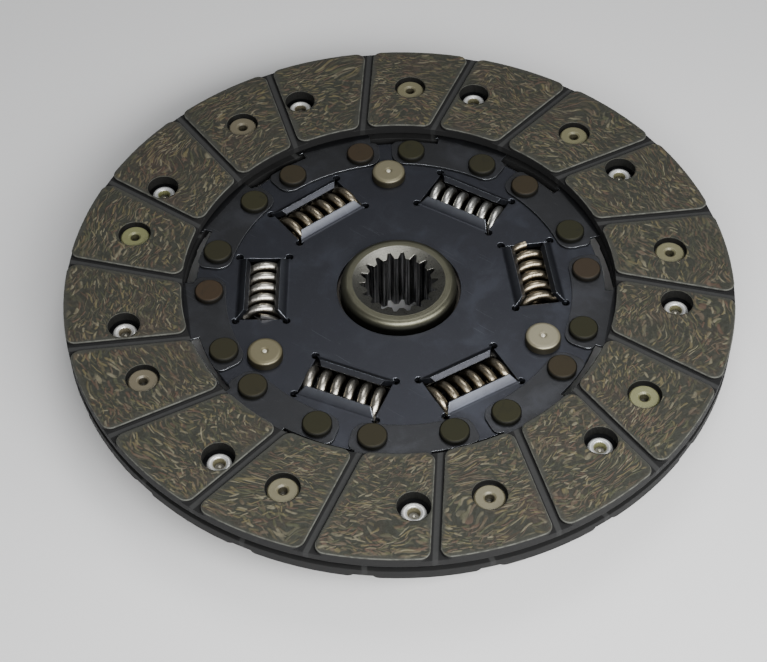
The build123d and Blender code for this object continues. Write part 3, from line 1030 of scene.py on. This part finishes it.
# mesh work
class Bench:
    """Models pieces with Blender's own operators, one at a time."""

    @staticmethod
    def clear() -> None:
        """Leave edit mode and select nothing."""
        if bpy.context.object is not None and bpy.context.object.mode != "OBJECT":
            bpy.ops.object.mode_set(mode="OBJECT")
        bpy.ops.object.select_all(action="DESELECT")

    @staticmethod
    def settle(piece: Piece, name: str, material: Material) -> Piece:
        """Put a piece's place into its mesh, smooth it and give it a finish.

        Args:
            piece: the piece, wherever it stands.
            name: its name.
            material: its finish.

        Returns:
            The same piece, at the origin.
        """
        piece.name = name
        piece.data.name = name
        bpy.ops.object.transform_apply(location=True, rotation=True, scale=True)
        piece.data.materials.clear()
        piece.data.materials.append(material)
        bpy.ops.object.shade_smooth_by_angle(angle=math.radians(35.0))
        return piece


@dataclass
class RolledCollars:
    """Rolled-over tails of the tubular facing rivets, seen down the holes in the other facing."""

    side: Side
    start: float
    count: int = 9
    circle: float = 82.8
    level: float = 0.6
    roll: float = 0.97
    middle: float = 2.7
    cup_radius: float = 1.9
    cup_depth: float = 1.1
    cup_floor: float = 0.3
    pip_radius: float = 0.55

    def build(self, material: Material) -> Piece:
        """Model a collar with its cup and pip at each rivet, and join them all.

        Args:
            material: finish of the bare rolled metal.

        Returns:
            The piece.
        """
        mesh = bpy.ops.mesh
        ring = {"major_radius": self.middle * MM, "minor_radius": self.roll * MM}
        ring |= {"major_segments": 40, "minor_segments": 14}
        pip = {"radius": self.pip_radius * MM, "segments": 20, "ring_count": 12}
        cup = {"radius": self.cup_radius * MM, "depth": self.cup_floor * MM, "vertices": 32}
        deep = self.level - self.cup_depth
        forms = (
            (mesh.primitive_torus_add, self.level, ring),
            (mesh.primitive_uv_sphere_add, deep, pip),
            (mesh.primitive_cylinder_add, deep, cup),
        )
        made: list[Piece] = []
        for number in range(self.count):
            angle = self.start + 360.0 / self.count * number
            Bench.clear()
            for add, level, sizes in forms:
                place = around(self.circle, angle, level * self.side.value)
                add(location=place * MM, **sizes)
                made.append(bpy.context.object)
        Bench.clear()
        for form in made:
            form.select_set(True)
        bpy.context.view_layer.objects.active = made[0]
        bpy.ops.object.join()
        name = f"rolled_collars_{self.side.name.lower()}"
        return Bench.settle(bpy.context.object, name, material)


@dataclass
class ClosingSprings:
    """Copies of the damper springs that stand in for the plain coils."""

    count: int = 6
    joint: str = "hub_twist"
    keep: float = 0.6

    def build(self, nodes: dict[str, Piece], material: Material) -> None:
        """Stand a copy in for each plain coil.

        Args:
            nodes: the CAD nodes by name.
            material: finish of the wire.
        """
        for number in range(1, self.count + 1):
            coil = f"damper_spring_{number}"
            spring = self.copy(nodes[coil], f"closing_spring_{number}", material)
            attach(spring, "disc")
            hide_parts(coil)
            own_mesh(spring)
            log.info("%s: closes to %.0f %%", spring.name, 100.0 * self.keep)

    def copy(self, coil: Piece, name: str, material: Material) -> Piece:
        """Copy a coil with its own mesh, and close the mesh's seams.

        Args:
            coil: CAD node to copy.
            name: the copy's name.
            material: its finish.

        Returns:
            The copy.
        """
        Bench.clear()
        spring = bpy.data.objects.new(name, coil.data.copy())
        bpy.context.scene.collection.objects.link(spring)
        bpy.context.view_layer.objects.active = spring
        spring.select_set(True)
        bpy.ops.object.mode_set(mode="EDIT")
        bpy.ops.mesh.select_all(action="SELECT")
        bpy.ops.mesh.remove_doubles(threshold=0.002 * MM)
        bpy.ops.object.mode_set(mode="OBJECT")
        return Bench.settle(spring, name, material)


@dataclass
class Dresser:
    """Gives the CAD nodes and the new pieces their finishes."""

    nodes: dict[str, Piece]
    made: dict[str, Material] = field(default_factory=dict)

    def finish(self, kind: Finish) -> Material:
        """Return a finish's material, built once.

        Args:
            kind: the finish.

        Returns:
            Its material.
        """
        if kind.name not in self.made:
            self.made[kind.name] = kind.build()
        return self.made[kind.name]

    def dress(self, kind: Finish, *names: str) -> None:
        """Put a finish on CAD nodes.

        Args:
            kind: the finish.
            *names: the nodes.
        """
        for name in names:
            node = self.nodes[name]
            if not node.material_slots:
                node.data.materials.append(self.finish(kind))
            for slot in node.material_slots:
                slot.material = self.finish(kind)
            log.info("%s: %s", name, kind.name)


@dataclass
class Studio:
    """Floor, soft light and camera."""

    floor_level: float = -20.4
    eye: tuple[float, float, float] = (-23.512, -371.696, 427.612)
    turn: tuple[float, float, float] = (39.726, 0.634, -3.638)
    lens: float = 88.362
    sky: tuple[float, float, float, float] = (0.93, 0.96, 1.0, 1.0)
    sky_strength: float = 0.12
    lights: tuple[tuple[str, tuple[float, ...], tuple[float, ...], float], ...] = (
        ("front_softbox", (90.0, -350.0, 335.0), (500.0, 170.0), 4.0),
        ("right_softbox", (600.0, -320.0, 380.0), (300.0, 240.0), 1.75),
        ("left_softbox", (-600.0, -390.0, 480.0), (300.0, 240.0), 0.25),
        ("top_softbox", (120.0, 300.0, 860.0), (420.0, 420.0), 2.3),
    )

    def build(self, dresser: Dresser) -> None:
        """Set up all three.

        Args:
            dresser: source of the floor's finish.
        """
        self.floor(dresser)
        for name, at, size, power in self.lights:
            self.softbox(name, at, size, power)
        world = bpy.data.worlds.new("studio")
        world.use_nodes = True
        backdrop = world.node_tree.nodes["Background"]
        backdrop.inputs["Color"].default_value = self.sky
        backdrop.inputs["Strength"].default_value = self.sky_strength
        bpy.context.scene.world = world
        self.camera()

    def floor(self, dresser: Dresser) -> None:
        """Lay the floor under the hub.

        Args:
            dresser: source of the floor's finish.
        """
        Bench.clear()
        bpy.ops.mesh.primitive_plane_add(size=6.0, location=(0.0, 0.0, self.floor_level * MM))
        floor = bpy.context.object
        floor.name = "studio_floor"
        bpy.ops.object.transform_apply(location=True, rotation=True, scale=True)
        floor.data.materials.append(dresser.finish(PaleFloor("pale_floor")))

    def softbox(self, name: str, at: Sequence[float], size: Sequence[float], power: float) -> None:
        """Hang an area light that faces the disc.

        Args:
            name: its name.
            at: its place in millimetres.
            size: its width and height in millimetres.
            power: watts.
        """
        lamp = bpy.data.lights.new(name, "AREA")
        lamp.shape = "RECTANGLE"
        lamp.size, lamp.size_y = size[0] * MM, size[1] * MM
        lamp.energy = power
        holder = bpy.data.objects.new(name, lamp)
        holder.location = Vector(at) * MM
        holder.rotation_euler = (-holder.location).to_track_quat("-Z", "Y").to_euler()
        bpy.context.scene.collection.objects.link(holder)

    def camera(self) -> None:
        """Place the camera."""
        eye = bpy.data.cameras.new("eye")
        eye.lens, eye.sensor_width = self.lens, 36.0
        eye.clip_start, eye.clip_end = 0.01, 20.0
        holder = bpy.data.objects.new("eye", eye)
        holder.location = Vector(self.eye) * MM
        holder.rotation_euler = Euler([math.radians(a) for a in self.turn])
        bpy.context.scene.collection.objects.link(holder)
        bpy.context.scene.camera = holder


# sub-assemblies
@dataclass
class FacingRings:
    """The two friction facings with their rivets."""

    head_start: float = 83.5
    tail_start: float = 68.9
    step: float = 40.0
    circle: float = 82.8

    def build(self, dresser: Dresser) -> None:
        """Dress the facings and their rivets, and add the rolled collars.

        Args:
            dresser: gives the finishes.
        """
        dresser.dress(FrictionLining("friction_lining_front", Side.FRONT), "front_facing")
        dresser.dress(FrictionLining("friction_lining_rear", Side.REAR), "rear_facing")
        tones = (
            (0.0, (0.19, 0.195, 0.09)),
            (0.45, (0.17, 0.162, 0.09)),
            (0.8, (0.15, 0.134, 0.088)),
            (1.0, (0.135, 0.115, 0.08)),
        )
        for side, start in ((Side.FRONT, self.head_start), (Side.REAR, self.tail_start)):
            kind = TurnedMetal(
                f"plated_rivets_{side.name.lower()}",
                start=start, step=self.step, circle=self.circle,
                # painted shade down the rivet's hole
                tones=tones, stain=(0.1, 0.085, 0.045), metal=0.18, hole_shade_radius=1.35,
            )
            dresser.dress(kind, f"{side.name.lower()}_facing_rivets")
        bare = ((0.0, (0.66, 0.67, 0.67)), (1.0, (0.78, 0.78, 0.75)))
        for side, start in ((Side.FRONT, self.tail_start), (Side.REAR, self.head_start)):
            kind = TurnedMetal(
                f"rolled_steel_{side.name.lower()}",
                start=start, step=self.step, circle=self.circle,
                tones=bare, stain=(0.3, 0.3, 0.3), cover=0.2, metal=0.5, shine=0.3,
                ring_depth=0.0, wear=0.0,
                # painted shade in the collar's cup, and a painted highlight on its pip
                middle=(0.045, 0.04, 0.024), hole_shade_radius=1.75, pip_highlight_radius=0.45,
            )
            collars = RolledCollars(side, start).build(dresser.finish(kind))
            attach(collars, "disc")
            log.info("%s: modelled", collars.name)


@dataclass
class SprungPlates:
    """Disc plate, retainer plate, segments, their rivets, and the stop pins."""

    segments: int = 9
    pins: int = 3
    foot_centre: float = 70.3
    rivet_spread: float = 11.8
    rivet_circle: float = 57.0
    rivet_radius: float = 4.35
    pin_radius: float = 5.3

    def build(self, dresser: Dresser) -> None:
        """Dress the sheet parts and what holds them.

        Args:
            dresser: gives the finishes.
        """
        dresser.dress(SpringPlate("phosphated_plate"), "disc_plate", "retainer_plate")
        feet = DarkSheet(
            "segment_steel",
            deep=(0.042, 0.043, 0.046), light=(0.06, 0.062, 0.07), bare=(0.45, 0.47, 0.5),
            shine=0.38, wear=0.7,
        )
        dresser.dress(feet, *(f"cushion_segment_{i + 1}" for i in range(self.segments)))
        blackened = (
            (0.0, (0.029, 0.028, 0.0145)),
            (0.45, (0.024, 0.024, 0.013)),
            (0.75, (0.032, 0.028, 0.017)),
            (0.93, (0.043, 0.029, 0.018)),
            (1.0, (0.034, 0.029, 0.021)),
        )
        rivets = TurnedMetal(
            "blackened_rivets",
            start=self.foot_centre, step=360.0 / self.segments,
            spread=self.rivet_spread, circle=self.rivet_circle,
            tones=blackened, stain=(0.012, 0.012, 0.008), metal=0.1, shine=0.55,
            pitch=0.3, ring_depth=0.01, wear=0.1, bare=(0.09, 0.085, 0.06),
            # painted shade on the rivet heads' flanks
            head_radius=self.rivet_radius, flank_shade=(0.006, 0.006, 0.005), gloss=0.15,
        )
        dresser.dress(rivets, "segment_rivets")
        zinc = ((0.0, (0.27, 0.25, 0.175)), (1.0, (0.155, 0.138, 0.08)))
        pins = TurnedMetal(
            "zinc_pins",
            tones=zinc, stain=(0.12, 0.1, 0.05), cover=0.35, metal=0.5, shine=0.36,
            # painted highlight on the pin's pip
            pitch=0.3, ring_depth=0.012, pip_highlight_radius=0.6,
            # painted shade on the pins' flanks
            head_radius=self.pin_radius, flank_shade=(0.02, 0.017, 0.01),
        )
        dresser.dress(pins, *(f"stop_pin_{i + 1}" for i in range(self.pins)))


@dataclass
class SprungHub:
    """Hub, damper springs, and the washers round the hub."""

    springs: int = 6

    def build(self, dresser: Dresser) -> None:
        """Dress the hub, its springs and its washers.

        Args:
            dresser: gives the finishes.
        """
        dresser.dress(HubSteel("hub_steel"), "hub")
        wire = SpringWire("spring_wire")
        dresser.dress(wire, *(f"damper_spring_{i + 1}" for i in range(self.springs)))
        ClosingSprings(self.springs).build(dresser.nodes, dresser.finish(wire))
        washers = (f"{side.name.lower()}_friction_washer" for side in Side)
        dresser.dress(PressedWasher("washer_resin"), *washers)
        greys = ((0.1, 0.1, 0.1), (0.2, 0.2, 0.2), (0.5, 0.5, 0.5))
        sheet = DarkSheet("spring_sheet", *greys, shine=0.35, wear=0.5, metal=1.0)
        dresser.dress(sheet, "disc_spring")


def main() -> None:
    """Build the sub-assemblies in order, then the studio."""
    dresser = Dresser(frame["nodes"])
    FacingRings().build(dresser)
    SprungPlates().build(dresser)
    SprungHub().build(dresser)
    Studio().build(dresser)


if __name__ == "__main__":
    main()
